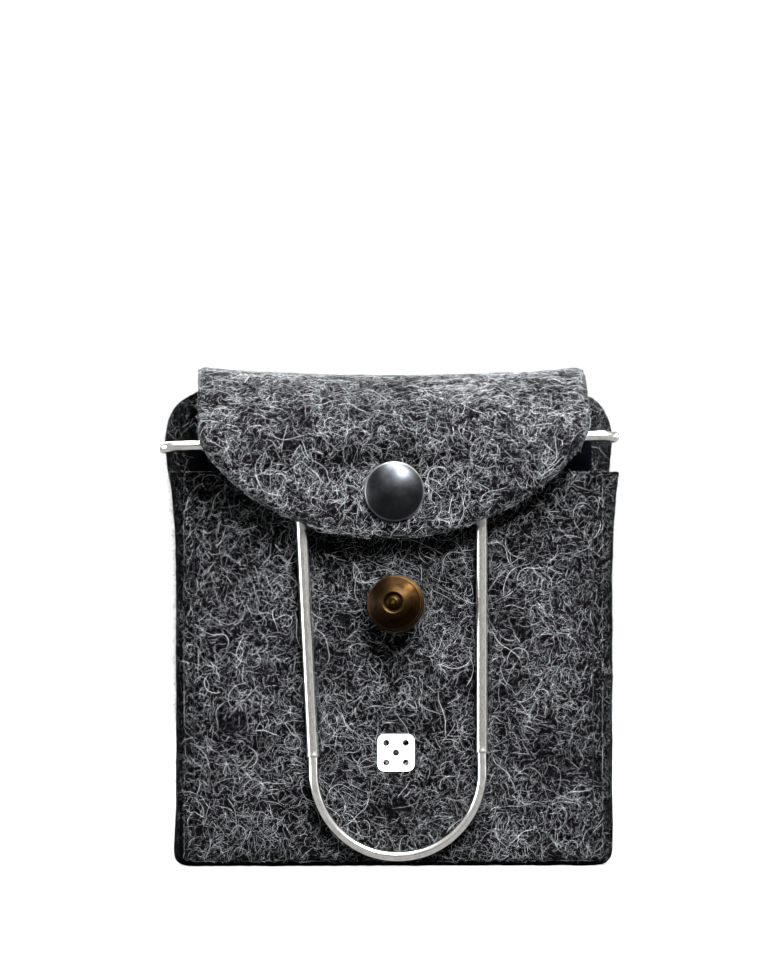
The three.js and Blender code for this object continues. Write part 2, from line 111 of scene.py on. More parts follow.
def write_vertices(mesh, co):
    mesh.vertices.foreach_set("co", np.ascontiguousarray(co, np.float32).reshape(-1))
    mesh.update()


def evaluated_copy(source, name):
    graph = bpy.context.evaluated_depsgraph_get()
    mesh = bpy.data.meshes.new_from_object(source.evaluated_get(graph), depsgraph=graph)
    mesh.materials.clear()
    mesh.name = name
    made = bpy.data.objects.new(name, mesh)
    bpy.context.scene.collection.objects.link(made)
    return made


def grid_faces(rows, columns, wrap=True):
    """Quads of a rows by columns grid whose columns close into rings."""
    r = np.arange(rows - 1)[:, None]
    c = np.arange(columns if wrap else columns - 1)[None, :]
    after = (c + 1) % columns
    near, far = r * columns, (r + 1) * columns
    quads = np.stack([near + c, near + after, far + after, far + c], -1)
    return quads.reshape(-1, 4)


def give_uv(made, u, v):
    """A UV for every corner, from per-vertex u and v; u is an angle share that wraps at 1."""
    mesh = made.data
    layer = mesh.uv_layers.new(name="UVMap")
    index = np.empty(len(mesh.loops), np.int32)
    mesh.loops.foreach_get("vertex_index", index)
    uu, vv = u[index].copy(), v[index]
    starts = np.empty(len(mesh.polygons), np.int32)
    totals = np.empty(len(mesh.polygons), np.int32)
    mesh.polygons.foreach_get("loop_start", starts)
    mesh.polygons.foreach_get("loop_total", totals)
    owner = np.repeat(np.arange(len(starts)), totals)
    top = np.full(len(starts), -1.0)
    np.maximum.at(top, owner, uu)
    uu[(top[owner] > 0.75) & (uu < 0.25)] += 1.0
    layer.data.foreach_set("uv", np.stack([uu, vv], -1).astype(np.float32).reshape(-1))


def lathe(name, profile, origin, axis, segments=96, tip_wear=0.0):
    """Turned solid. profile is [(radius, distance along axis)] in millimetres, from axis to axis."""
    profile = np.array(profile, float) * MM
    turn = Vector((0, 0, 1)).rotation_difference(Vector(axis)).to_matrix()
    angles = np.linspace(0, 2 * math.pi, segments, endpoint=False)
    middle = profile[1:-1]
    ring = np.stack([
        middle[:, :1] * np.cos(angles), middle[:, :1] * np.sin(angles), np.repeat(middle[:, 1:], segments, 1),
    ], -1).reshape(-1, 3)
    ends = np.array([[0, 0, profile[0, 1]], [0, 0, profile[-1, 1]]])
    local = np.concatenate([ring, ends])
    world = local @ np.array(turn).T + np.array(origin)
    rows = len(middle)
    c = np.arange(segments)
    first, last = len(ring), len(ring) + 1
    cap_low = np.stack([np.full(segments, first), (c + 1) % segments, c], -1)
    last_ring = (rows - 1) * segments
    cap_high = np.stack([np.full(segments, last), last_ring + c, last_ring + (c + 1) % segments], -1)
    made = add_mesh(name, world, [grid_faces(rows, segments), cap_low, cap_high])
    along = np.concatenate([[0], np.cumsum(np.linalg.norm(np.diff(profile, axis=0), axis=1))]) / MM
    u = np.concatenate([np.tile(angles / (2 * math.pi), rows), [0.5, 0.5]])
    v = np.concatenate([np.repeat(along[1:-1], segments), [along[0], along[-1]]])
    give_uv(made, u, v)
    step = np.diff(profile, axis=0)
    heading = np.unwrap(np.arctan2(step[:, 1], step[:, 0]))
    edge = np.clip(np.diff(heading) - 0.1, 0, 1)
    near = np.exp(-((along[1:-1, None] - along[None, 1:-1]) / 0.10) ** 2)
    wear = np.clip(near @ edge / 0.7, 0, 1) ** 1.5
    values = np.concatenate([np.repeat(wear, segments), [0.0, tip_wear]]).astype(np.float32)
    made.data.attributes.new("wear", "FLOAT", "POINT").data.foreach_set("value", values)
    return made


def rounded(profile, radius=0.12, steps=3):
    """Softens the corners of a profile given in millimetres."""
    points = [np.array(p, float) for p in profile]
    out = [points[0]]
    for before, here, after in zip(points, points[1:], points[2:]):
        reach = min(radius, 0.45 * np.linalg.norm(before - here), 0.45 * np.linalg.norm(after - here))
        start = here + (before - here) / np.linalg.norm(before - here) * reach
        end = here + (after - here) / np.linalg.norm(after - here) * reach
        for t in np.linspace(0, 1, steps + 1):
            out.append((1 - t) ** 2 * start + 2 * t * (1 - t) * here + t * t * end)
    out.append(points[-1])
    return out


def tube(name, path, radius, sides=24):
    """Round bar with closed ends along a path; radius is one value or one for each point, in metres."""
    path = np.array(path, float)
    radius = np.broadcast_to(np.asarray(radius, float), len(path))
    step = np.diff(path, axis=0)
    step /= np.linalg.norm(step, axis=1)[:, None]
    tangent = np.concatenate([step[:1], step[:-1] + step[1:], step[-1:]])
    tangent /= np.linalg.norm(tangent, axis=1)[:, None]
    side = np.cross(tangent[0], [0.0, 1.0, 0.03])
    side /= np.linalg.norm(side)
    sides_at = [side]
    for t in tangent[1:]:
        side = sides_at[-1] - t * np.dot(sides_at[-1], t)
        sides_at.append(side / np.linalg.norm(side))
    side = np.array(sides_at)
    other = np.cross(tangent, side)
    angles = np.linspace(0, 2 * math.pi, sides, endpoint=False)
    rings = path[:, None] + radius[:, None, None] * (
        np.cos(angles)[None, :, None] * side[:, None] + np.sin(angles)[None, :, None] * other[:, None])
    vertices = np.concatenate([rings.reshape(-1, 3), path[:1], path[-1:]])
    rows, c = len(path), np.arange(sides)
    first, last = rows * sides, rows * sides + 1
    cap_low = np.stack([np.full(sides, first), (c + 1) % sides, c], -1)
    last_ring = (rows - 1) * sides
    cap_high = np.stack([np.full(sides, last), last_ring + c, last_ring + (c + 1) % sides], -1)
    made = add_mesh(name, vertices, [grid_faces(rows, sides), cap_low, cap_high])
    along = np.concatenate([[0], np.cumsum(np.linalg.norm(np.diff(path, axis=0), axis=1))]) / MM
    give_uv(made, np.concatenate([np.tile(angles / (2 * math.pi), rows), [0.5, 0.5]]),
            np.concatenate([np.repeat(along, sides), [along[0], along[-1]]]))
    return made


# ------------------------------------------------------------------------- materials
class Shader:
    """Small helper that adds nodes to one material."""

    def __init__(self, name):
        self.material = bpy.data.materials.new(name)
        self.material.use_nodes = True
        self.nodes = self.material.node_tree.nodes
        self.links = self.material.node_tree.links
        self.nodes.clear()
        self.out = self.nodes.new("ShaderNodeOutputMaterial")
        self.surface = self.nodes.new("ShaderNodeBsdfPrincipled")
        self.links.new(self.surface.outputs[0], self.out.inputs["Surface"])

    def put(self, socket, value):
        if isinstance(value, bpy.types.NodeSocket):
            self.links.new(value, socket)
        elif isinstance(value, tuple) and len(value) == 3 and socket.type == "RGBA":
            socket.default_value = (*value, 1.0)
        else:
            socket.default_value = value

    def set(self, **values):
        for key, value in values.items():
            self.put(self.surface.inputs[key.replace("_", " ")], value)

    def add(self, kind, inputs=(), output=0, **settings):
        node = self.nodes.new(kind)
        for key, value in settings.items():
            setattr(node, key, value)
        for key, value in dict(inputs).items():
            self.put(node.inputs[key], value)
        return node.outputs[output]

    def place(self, scale=1.0):
        coordinates = self.add("ShaderNodeTexCoord", output="Object")
        if scale == 1.0:
            return coordinates
        return self.add("ShaderNodeVectorMath", {0: coordinates, 1: scale}, operation="MULTIPLY")

    def uv(self, scale):
        coordinates = self.add("ShaderNodeTexCoord", output="UV")
        return self.add("ShaderNodeVectorMath", {0: coordinates, 1: scale}, operation="MULTIPLY")

    def noise(self, where, scale, detail=3.0, rough=0.5, distortion=0.0):
        return self.add("ShaderNodeTexNoise", {
            "Vector": where, "Scale": scale, "Detail": detail, "Roughness": rough, "Distortion": distortion})

    def ramp(self, value, low, high, to_low=0.0, to_high=1.0):
        return self.add("ShaderNodeMapRange", {
            "Value": value, "From Min": low, "From Max": high, "To Min": to_low, "To Max": to_high},
            interpolation_type="SMOOTHSTEP")

    def math(self, operation, a, b=0.0, c=0.0):
        node = self.nodes.new("ShaderNodeMath")
        node.operation = operation
        for socket, value in zip(node.inputs, (a, b, c)):
            self.put(socket, value)
        return node.outputs[0]

    def mix(self, factor, a, b):
        node = self.nodes.new("ShaderNodeMix")
        node.data_type = "RGBA"
        self.put(node.inputs[0], factor)
        self.put(node.inputs[6], a)
        self.put(node.inputs[7], b)
        return node.outputs[2]

    def bump(self, height, strength, distance):
        return self.add("ShaderNodeBump", {"Height": height, "Strength": strength, "Distance": distance})


def felt_material(name, ground, fibre, amount):
    """Matted wool: dark ground, several layers of thin curling fibres and a rough pile. The dimmer layers are
    painted shade, for fibres lying deeper in the mat.
    """
    s = Shader(name)
    where = s.place()
    blotch = s.noise(where, 130.0, 3.0, 0.6)
    patch = s.noise(where, 42.0, 2.0, 0.5)
    total = None
    height = None
    # Each layer: noise scale, offset, line width and brightness; a brightness under 1 is painted shade for a
    # deeper layer.
    for scale, offset, width, bright in (
        (480.0, (3.1, 1.7, 0.4), 0.011, 0.9),
        (860.0, (7.9, 4.2, 5.5), 0.016, 1.0),
        (1500.0, (1.3, 8.8, 2.6), 0.024, 0.8),
        (2500.0, (5.7, 2.9, 9.1), 0.034, 0.5),
    ):
        moved = s.add("ShaderNodeVectorMath", {0: where, 1: offset}, operation="ADD")
        field = s.noise(moved, scale, 2.0, 0.55, 1.1)
        line = s.ramp(s.math("ABSOLUTE", s.math("SUBTRACT", field, 0.5)), 0.0, width, 1.0, 0.0)
        broken = s.ramp(s.noise(moved, scale * 0.55, 2.0), 0.42, 0.6)
        strand = s.math("MULTIPLY", s.math("MULTIPLY", line, broken), bright)
        total = strand if total is None else s.math("MAXIMUM", total, strand)
        height = line if height is None else s.math("ADD", height, line)
    shade = s.math("MULTIPLY", total, s.ramp(blotch, 0.3, 0.7, 0.35, 1.0))
    shade = s.math("MULTIPLY", shade, s.ramp(patch, 0.3, 0.7, 0.6, 1.0))
    shade = s.math("MULTIPLY", shade, amount)
    dark = s.mix(s.ramp(s.noise(where, 900.0, 4.0, 0.7), 0.35, 0.7), tuple(c * 0.45 for c in ground), ground)
    trimmed = s.add("ShaderNodeAttribute", output="Fac", attribute_name="cut")
    speckle = s.ramp(s.noise(where, 1900.0, 3.0, 0.7), 0.38, 0.68)
    dark = s.mix(s.math("MULTIPLY", trimmed, speckle), dark, tuple(c * 1.1 for c in fibre))
    s.set(Base_Color=s.mix(shade, dark, fibre), Roughness=s.ramp(blotch, 0.2, 0.8, 0.86, 1.0))
    s.surface.inputs["Specular IOR Level"].default_value = 0.01
    pile = s.math("ADD", s.math("MULTIPLY", height, 0.6), s.noise(where, 1400.0, 4.0, 0.75))
    s.set(Normal=s.bump(pile, 0.9, 0.0002))
    return s.material


def fibre_material(name):
    """Loose pale hairs, each with its own tone, slightly glossy along the strand."""
    s = Shader(name)
    tone = s.add("ShaderNodeAttribute", output="Fac", attribute_name="tone")
    dim = s.noise(s.place(), 700.0, 2.0, 0.6)
    colour = s.mix(tone, (0.0003, 0.00035, 0.0005), (0.43, 0.449, 0.472))
    colour = s.mix(s.ramp(dim, 0.4, 0.75, 0.0, 0.45), colour, (0.009, 0.0095, 0.011))
    s.set(Base_Color=colour, Roughness=s.ramp(dim, 0.3, 0.7, 0.45, 0.7))
    s.surface.inputs["Specular IOR Level"].default_value = 0.08
    return s.material


def steel_material(name, pale, dark, smooth, satin):
    """Stainless steel: long fine draw lines and faint handling marks."""
    s = Shader(name)
    lines = s.noise(s.uv((26.0, 0.35, 1.0)), 1.0, 3.0, 0.6)
    marks = s.noise(s.place(), 500.0, 4.0, 0.65)
    s.set(
        Base_Color=s.mix(s.ramp(marks, 0.35, 0.75), pale, dark),
        Roughness=s.math("ADD", s.ramp(lines, 0.3, 0.7, smooth, satin), s.ramp(marks, 0.5, 0.8, 0.0, 0.06)),
        Normal=s.bump(lines, 0.10, 0.00004),
    )
    s.surface.inputs["Metallic"].default_value = 1.0
    return s.material


def fixing_material(name):
    s = Shader(name)
    marks = s.noise(s.place((1.0, 1.0, 9.0)), 350.0, 4.0, 0.6)
    s.set(
        Base_Color=s.mix(s.ramp(marks, 0.3, 0.7), (0.52, 0.52, 0.50), (0.68, 0.67, 0.65)),
        Roughness=s.ramp(marks, 0.25, 0.75, 0.22, 0.42),
        Normal=s.bump(marks, 0.12, 0.00005),
    )
    s.surface.inputs["Metallic"].default_value = 1.0
    return s.material


def gunmetal_material(name):
    """Dark plated snap metal with a satin cloudiness and fine rubs that show paler near the rim."""
    s = Shader(name)
    where = s.place()
    cloud = s.noise(where, 260.0, 4.0, 0.62)
    rub = s.noise(where, 1500.0, 3.0, 0.7)
    base = s.mix(s.ramp(cloud, 0.3, 0.72), (0.0108, 0.0116, 0.0130), (0.0170, 0.0181, 0.0199))
    base = s.mix(s.ramp(rub, 0.62, 0.8, 0.0, 0.25), base, (0.060, 0.063, 0.068))
    wear = s.add("ShaderNodeAttribute", output="Fac", attribute_name="wear")
    base = s.mix(wear, base, (0.60, 0.60, 0.59))
    s.set(
        Base_Color=base,
        Roughness=s.math("ADD", s.ramp(cloud, 0.25, 0.75, 0.33, 0.40), s.ramp(rub, 0.4, 0.8, 0.0, 0.06)),
        Normal=s.bump(rub, 0.06, 0.00004),
    )
    s.surface.inputs["Metallic"].default_value = 1.0
    return s.material


def brass_material(name):
    """Turned brass gone brown, with concentric tool marks and darker tarnish in patches."""
    s = Shader(name)
    rings = s.noise(s.uv((0.4, 9.0, 1.0)), 1.0, 3.0, 0.65)
    where = s.place()
    tarnish = s.noise(where, 330.0, 4.0, 0.6)
    wear = s.add("ShaderNodeAttribute", output="Fac", attribute_name="wear")
    base = s.mix(s.ramp(tarnish, 0.3, 0.68), (0.0016, 0.0008, 0.0003), (0.0075, 0.0038, 0.0012))
    base = s.mix(s.ramp(rings, 0.5, 0.75, 0.0, 0.35), base, (0.026, 0.014, 0.0046))
    base = s.mix(s.math("MULTIPLY", wear, s.ramp(tarnish, 0.2, 0.6, 1.0, 0.55)), base, (0.20, 0.12, 0.04))
    s.set(
        Base_Color=base,
        Roughness=s.math("ADD", s.ramp(rings, 0.3, 0.7, 0.26, 0.38), s.ramp(tarnish, 0.3, 0.8, 0.12, 0.0)),
        Normal=s.bump(rings, 0.55, 0.00006),
    )
    s.surface.inputs["Metallic"].default_value = 1.0
    return s.material


def liner_material(name):
    # Near-black: partly the sheet's own black, partly painted shade for the box sitting in the shade under
    # the flap.
    s = Shader(name)
    where = s.place()
    grain = s.noise(where, 1800.0, 3.0, 0.6)
    scuff = s.noise(s.place((1.0, 1.0, 0.12)), 420.0, 3.0, 0.6)
    s.set(
        Base_Color=s.mix(s.ramp(scuff, 0.4, 0.75), (0.0004, 0.00045, 0.0007), (0.0010, 0.0011, 0.0016)),
        Roughness=s.ramp(scuff, 0.3, 0.8, 0.7, 0.85),
        Normal=s.bump(grain, 0.15, 0.00005),
    )
    s.surface.inputs["Specular IOR Level"].default_value = 0.0
    return s.material


def thread_material(name):
    s = Shader(name)
    twist = s.noise(s.place((1.0, 1.0, 0.45)), 5200.0, 2.0, 0.5)
    s.set(
        Base_Color=s.mix(s.ramp(twist, 0.35, 0.65), (0.0006, 0.0006, 0.0008), (0.0030, 0.0030, 0.0036)),
        Roughness=s.ramp(twist, 0.3, 0.7, 0.55, 0.8),
        Normal=s.bump(twist, 0.6, 0.0001),
    )
    s.surface.inputs["Specular IOR Level"].default_value = 0.04
    return s.material


def print_material(name):
    """Matt white transfer film that has sunk a little into the felt's nap."""
    s = Shader(name)
    where = s.place()
    nap = s.noise(where, 1100.0, 4.0, 0.7)
    s.set(
        Base_Color=s.mix(s.ramp(nap, 0.58, 0.8, 0.0, 0.4), (0.55, 0.55, 0.545), (0.30, 0.30, 0.305)),
        Roughness=s.ramp(nap, 0.3, 0.7, 0.6, 0.8),
        Normal=s.bump(nap, 0.35, 0.00012),
    )
    return s.material


FELT = felt_material("felt_face", (0.00018, 0.00022, 0.00028), (0.0168, 0.0180, 0.0196), 0.6)
FIBRE = fibre_material("felt_hairs")
WIRE = steel_material("bail_wire_steel", (0.78, 0.765, 0.73), (0.62, 0.605, 0.575), 0.13, 0.20)
SLEEVE = steel_material("bail_sleeve_steel", (0.43, 0.421, 0.40), (0.37, 0.362, 0.343), 0.25, 0.30)
FIXING = fixing_material("fixing_steel")
GUNMETAL = gunmetal_material("snap_gunmetal")
BRASS = brass_material("knob_brass")
LINER = liner_material("liner_sheet")
THREAD = thread_material("seam_thread")
PRINT = print_material("emblem_print")


def dress(made, material):
    made.data.materials.clear()
    made.data.materials.append(material)
    return made


# ------------------------------------------------------------------------- felt
def lumps(co, size, seed):
    """Smooth noise between -1 and 1 at each point, with lumps about size metres across."""
    shift = Vector((seed * 7.3, seed * 3.1, seed * 11.7))
    scale = 1.0 / size
    return np.array([noise.noise(Vector(p) * scale + shift) for p in co])


def flap_rim(co):
    """Distance in from the flap's cut edge, in metres; large away from the flap."""
    half, corner, drop, skew, power = FLAP_HI.x, 109 * MM, 27 * MM, 0.026, 1 / 1.4
    across = np.clip(np.abs(co[:, 0]) / half, 0, 0.995)
    edge = corner + skew * co[:, 0] - drop * (1 - across ** 2) ** power
    slope = drop / half * power * 2 * across * (1 - across ** 2) ** (power - 1)
    lower = np.where(co[:, 1] < -18 * MM, (co[:, 2] - edge) / np.sqrt(1 + slope ** 2), 1.0)
    rim = np.minimum(lower, half - np.abs(co[:, 0]))
    on_flap = (co[:, 2] > BACK_HI.z + 0.5 * MM) | (co[:, 1] < -20.6 * MM)
    return np.where(on_flap, np.maximum(rim, 0), 1.0)


def seam_depth(co):
    """How far the stitching pulls the felt in, for the two upright seams of a face."""
    above_foot = np.clip((co[:, 2] - SEAM_LOW + SEAM_OVERRUN) / MM, 0, 1)
    below_top = np.clip((SEAM_HIGH + SEAM_OVERRUN - co[:, 2]) / MM, 0, 1)
    inside = above_foot * below_top
    across = np.abs(np.abs(co[:, 0]) - SEAM_X)
    groove = np.exp(-((across / (0.85 * MM)) ** 2))
    hole = 0.5 + 0.5 * np.cos(2 * math.pi * (co[:, 2] - SEAM_LOW) / STITCH)
    return inside * groove * (0.5 + 0.8 * hole ** 3) * MM


def make_felt(name, nodes, voxel, seed, seams):
    """A felt piece from its CAD solids: remeshed, softened at the edges, lumpy, with sewn channels."""
    parts = []
    for node in nodes:
        copy = frame["nodes"][node].copy()
        copy.data = frame["nodes"][node].data.copy()
        copy.parent = None
        for key in list(copy.keys()):
            del copy[key]
        bpy.context.scene.collection.objects.link(copy)
        parts.append(copy)
    co, faces, offset = [], [], 0
    for part in parts:
        part.data.calc_loop_triangles()
        tris = np.empty(len(part.data.loop_triangles) * 3, np.int32)
        part.data.loop_triangles.foreach_get("vertices", tris)
        points = read_vertices(part.data)
        co.append(points)
        faces.append(tris.reshape(-1, 3) + offset)
        offset += len(points)
        data = part.data
        bpy.data.objects.remove(part)
        bpy.data.meshes.remove(data)
    rough = add_mesh(name + "_raw", np.concatenate(co), [np.concatenate(faces)], smooth=False)
    remesh = rough.modifiers.new("remesh", "REMESH")
    remesh.mode = "VOXEL"
    remesh.voxel_size = voxel
    smooth = rough.modifiers.new("smooth", "SMOOTH")
    smooth.factor, smooth.iterations = 0.5, 3
    made = evaluated_copy(rough, name)
    bpy.data.objects.remove(rough)
    mesh = made.data
    co, normals = read_vertices(mesh), read_normals(mesh)
    shift = 0.12 * lumps(co, 5.5 * MM, seed) + 0.10 * lumps(co, 2.2 * MM, seed + 1) - 0.10
    shift += 0.05 * lumps(co, 1.3 * MM, seed + 2)
    if seams:
        outward = np.abs(normals[:, 1]) > 0.7
        facing = np.where(co[:, 1] < 0, normals[:, 1] < 0, normals[:, 1] > 0) & outward
        depth = seam_depth(co) * facing
    else:
        depth = 0.0
    rim = flap_rim(co)
    outer = (normals[:, 1] < -0.3) | (normals[:, 2] > 0.3)
    bevel = np.clip(1 - rim / (1.5 * MM), 0, 1) ** 1.4 * outer * 0.75 * MM
    co += normals * (shift * MM - depth - bevel)[:, None]
    if name == "felt_gusset":
        right_side = co[:, 0] > FRONT_HI.x - 0.6 * MM
        co[:, 0] += np.where(right_side, GUSSET_PROUD, 0.0) * np.clip(co[:, 2] / GUSSET_FOOT, 0, 1)
    write_vertices(mesh, co)
    cut = np.clip(1.4 - rim / MM, 0, 1).astype(np.float32)
    mesh.attributes.new("cut", "FLOAT", "POINT").data.foreach_set("value", cut)
    mesh.polygons.foreach_set("use_smooth", np.ones(len(mesh.polygons), bool))
    return made


def surface_of(made):
    """Triangles of a piece, for scattering, and a tree for finding the nearest point on it."""
    mesh = made.data
    mesh.calc_loop_triangles()
    tris = np.empty(len(mesh.loop_triangles) * 3, np.int32)
    mesh.loop_triangles.foreach_get("vertices", tris)
    co = read_vertices(mesh)
    tris = tris.reshape(-1, 3)
    return co, tris, BVHTree.FromPolygons(co.tolist(), tris.tolist(), all_triangles=True)


def scatter(co, tris, count, rng, weight):
    a, b, c = co[tris[:, 0]], co[tris[:, 1]], co[tris[:, 2]]
    normal = np.cross(b - a, c - a)
    area = np.linalg.norm(normal, axis=1)
    normal /= np.maximum(area, 1e-18)[:, None]
    share = area * weight((a + b + c) / 3, normal)
    picked = rng.choice(len(tris), count, p=share / share.sum())
    u, v = rng.random((2, count, 1))
    u, v = np.where(u + v > 1, 1 - u, u), np.where(u + v > 1, 1 - v, v)
    return a[picked] + u * (b[picked] - a[picked]) + v * (c[picked] - a[picked]), normal[picked]


FUZZ_LIMIT = 1.8 * MM     # the furthest that a hair stands off the felt


def grow_fibres(name, surface, count, seed, weight, length=(3.5, 13.0), radius=(0.010, 0.027), lift=0.24,
                points=13, curl=0.34, hold=0.8, tones=(0.25, 1.0), clump=0.75, paler=None):
    """Curling hairs that wander over a surface: each a thin three-sided closed tube."""
    co, tris, tree = surface
    rng = np.random.default_rng(seed)
    at, normal = scatter(co, tris, count, rng, weight)
    tuft = 0.5 + 0.5 * lumps(at, 9.0 * MM, seed) + 0.45 * lumps(at, 3.6 * MM, seed + 5)
    keep = rng.random(count) < np.clip(1 - clump + clump * 1.5 * tuft, 0.06, 1)
    at, normal, tuft = at[keep], normal[keep], tuft[keep]
    count = len(at)
    heading = rng.normal(size=(count, 3))
    heading -= normal * np.sum(heading * normal, 1)[:, None]
    heading /= np.linalg.norm(heading, axis=1)[:, None]
    step = rng.uniform(*length, count) * MM / (points - 1)
    bend = rng.normal(0, curl, count)
    line, facing = [at], [normal]
    for _ in range(points - 1):
        bend = hold * bend + (1 - hold) * rng.normal(0, curl * 2.6, count)
        angle = bend * step / MM
        cosine, sine = np.cos(angle)[:, None], np.sin(angle)[:, None]
        heading = heading * cosine + np.cross(normal, heading) * sine
        goal = at + heading * step[:, None]
        hit = [tree.find_nearest(p) for p in goal.tolist()]
        at = np.array([h[0] for h in hit])
        normal = np.array([h[1] for h in hit])
        heading -= normal * np.sum(heading * normal, 1)[:, None]
        heading /= np.maximum(np.linalg.norm(heading, axis=1), 1e-9)[:, None]
        line.append(at)
        facing.append(normal)
    line, facing = np.stack(line, 1), np.stack(facing, 1)
    along = np.linspace(0, 1, points)[None, :]
    wave = np.sin(along * math.pi * rng.uniform(1, 3, (count, 1)) + rng.uniform(0, 6.28, (count, 1)))
    rise = rng.gamma(1.3, lift, (count, 1)) * MM
    tip = (rng.random((count, 1)) < 0.25) * rng.gamma(1.5, lift * 1.6, (count, 1)) * MM
    height = 0.02 * MM + rise * np.clip(wave, -0.15, 1) + tip * np.clip(along * 3 - 2, 0, 1) ** 1.5
    height = FUZZ_LIMIT * np.tanh(height / FUZZ_LIMIT)
    middle = line + facing * height[..., None]
    middle[..., 2] = np.maximum(middle[..., 2], 0.05 * MM)      # none goes through the ground
    tangent = np.gradient(middle, axis=1)
    tangent /= np.maximum(np.linalg.norm(tangent, axis=2), 1e-9)[..., None]
    side = np.cross(tangent, facing)
    side /= np.maximum(np.linalg.norm(side, axis=2), 1e-9)[..., None]
    up = np.cross(side, tangent)
    taper = np.clip(np.minimum(along, 1 - along) * 6, 0.25, 1)
    bold = rng.random(count) ** 3.0
    thick = (radius[0] + (radius[1] - radius[0]) * bold[:, None]) * MM * taper
    corners = []
    for angle in (0.5, 2.594, 4.689):
        corners.append(middle + thick[..., None] * (math.cos(angle) * side + math.sin(angle) * up))
    vertices = np.stack(corners, 2).reshape(-1, 3)
    strand = grid_faces(points, 3)
    base = (np.arange(count) * points * 3)[:, None, None]
    quads = (strand[None] + base).reshape(-1, 4)
    ends = np.array([[2, 1, 0], [(points - 1) * 3, (points - 1) * 3 + 1, (points - 1) * 3 + 2]])
    caps = (ends[None] + base).reshape(-1, 3)
    made = add_mesh(name, vertices, [quads, caps])
    own = tones[0] + (tones[1] - tones[0]) * (0.35 * rng.random(count) + 0.65 * bold)
    own *= (0.45 + 0.9 * tuft) * (paler(line[:, 0]) if paler else 1.0)
    tone = np.repeat(np.clip(own, 0.02, 1.3), points * 3).astype(np.float32)
    made.data.attributes.new("tone", "FLOAT", "POINT").data.foreach_set("value", tone)
    return dress(made, FIBRE)


front = dress(make_felt("felt_front", ["front_panel"], 0.62 * MM, 1, True), FELT)
gusset = dress(make_felt("felt_gusset", ["gusset"], 0.7 * MM, 2, False), FELT)
wrap = dress(make_felt("felt_back_and_flap", ["back_panel", "flap"], 0.7 * MM, 3, True), FELT)


def off_seam(at):
    """Few hairs cross the sewn channels."""
    return np.where(np.abs(np.abs(at[:, 0]) - SEAM_X) < 0.8 * MM, 0.2, 1.0)


def front_weight(at, normal):
    facing = np.where(normal[:, 1] < -0.5, 1.0, np.where(normal[:, 1] > 0.5, 0.0, 0.6))
    return facing * off_seam(at)


def gusset_weight(at, normal):
    outside = (at[:, 0] * normal[:, 0] > 0.01) | (normal[:, 2] < -0.6)
    rim = (np.abs(normal[:, 1]) > 0.5) & (np.abs(at[:, 0]) > FRONT_HI.x - 0.4 * MM)
    return np.where(outside & (np.abs(normal[:, 1]) < 0.6), 0.5, np.where(rim, 2.4, 0.0))


def wrap_weight(at, normal):
    back = (at[:, 1] > BACK_LO.y - MM) & (at[:, 2] < BACK_HI.z)
    inside = back & (normal[:, 1] < -0.5)
    hidden = inside & (at[:, 2] < 98 * MM)
    shaded = inside & (np.abs(at[:, 0]) < SHOULDER_RIM)
    inner = ~back & (normal[:, 2] < -0.25) | (~back & (normal[:, 1] > 0.5))
    share = np.where(hidden, 0.0, np.where(shaded, 0.08, np.where(inner, 0.2, np.where(back, 0.55, 1.0))))
    return share * off_seam(at) * np.clip(flap_rim(at) / MM - 0.5, 0.12, 1)


def shoulder_weight(at, normal):
    back = (at[:, 1] > BACK_LO.y - MM) & (at[:, 2] > 96 * MM) & (at[:, 2] < BACK_HI.z)
    return np.where(back & (normal[:, 1] < 0.5) & (np.abs(at[:, 0]) > SHOULDER_RIM), 1.0, 0.0)


def rim_weight(at, normal):
    return np.where(flap_rim(at) < 1.5 * MM, 1.0, 0.0)


def paler_low_painted_light(at):
    """The flap's hairs are made paler towards its lower edge; there the left is painted lighter and the right
    darker, as painted light falling from the right.
    """
    low = np.clip((112 * MM - at[:, 2]) / (22 * MM), 0, 1) * (at[:, 1] < -18 * MM)
    return (0.86 + 0.45 * low) * np.clip(1.06 - at[:, 0] * low * 3.5, 0.8, 1.3)


def cut_edge_paler_painted_light(at):
    """The gusset's cut edges are paler than its sides; the left edge is painted paler than the right, as
    painted light falling from the left.
    """
    return np.where(np.abs(at[:, 1] - FRONT_LO.y) < 1.2 * MM, np.where(at[:, 0] < 0, 3.6, 2.1), 0.5)


SHOULDER_RIM = 51.0 * MM
NAP = {
    "length": (1.0, 4.6), "radius": (0.006, 0.0165), "lift": 0.2, "points": 7,
    "curl": 0.5, "hold": 0.6, "clump": 0.8,
}
HAIRS = {}
surface = surface_of(front)
HAIRS["front"] = grow_fibres("hairs_front", surface, 2100, 11, front_weight)
HAIRS["front_nap"] = grow_fibres("nap_front", surface, 27000, 21, front_weight, tones=(0.02, 1.0), **NAP)
surface = surface_of(gusset)
HAIRS["gusset"] = grow_fibres("hairs_gusset", surface, 18000, 12, gusset_weight, tones=(0.05, 1.0),
                              paler=cut_edge_paler_painted_light, **{**NAP, "length": (0.7, 2.8), "lift": 0.4})
surface = surface_of(wrap)
HAIRS["wrap"] = grow_fibres("hairs_back_and_flap", surface, 3900, 13, wrap_weight, paler=paler_low_painted_light)
HAIRS["wrap_nap"] = grow_fibres("nap_back_and_flap", surface, 42000, 23, wrap_weight, tones=(0.02, 1.0),
                                paler=paler_low_painted_light, **NAP)
HAIRS["wrap_rim"] = grow_fibres("nap_flap_rim", surface, 3600, 33, rim_weight, tones=(0.2, 0.8),
                                **{**NAP, "length": (0.5, 1.6), "points": 5, "lift": 0.2})

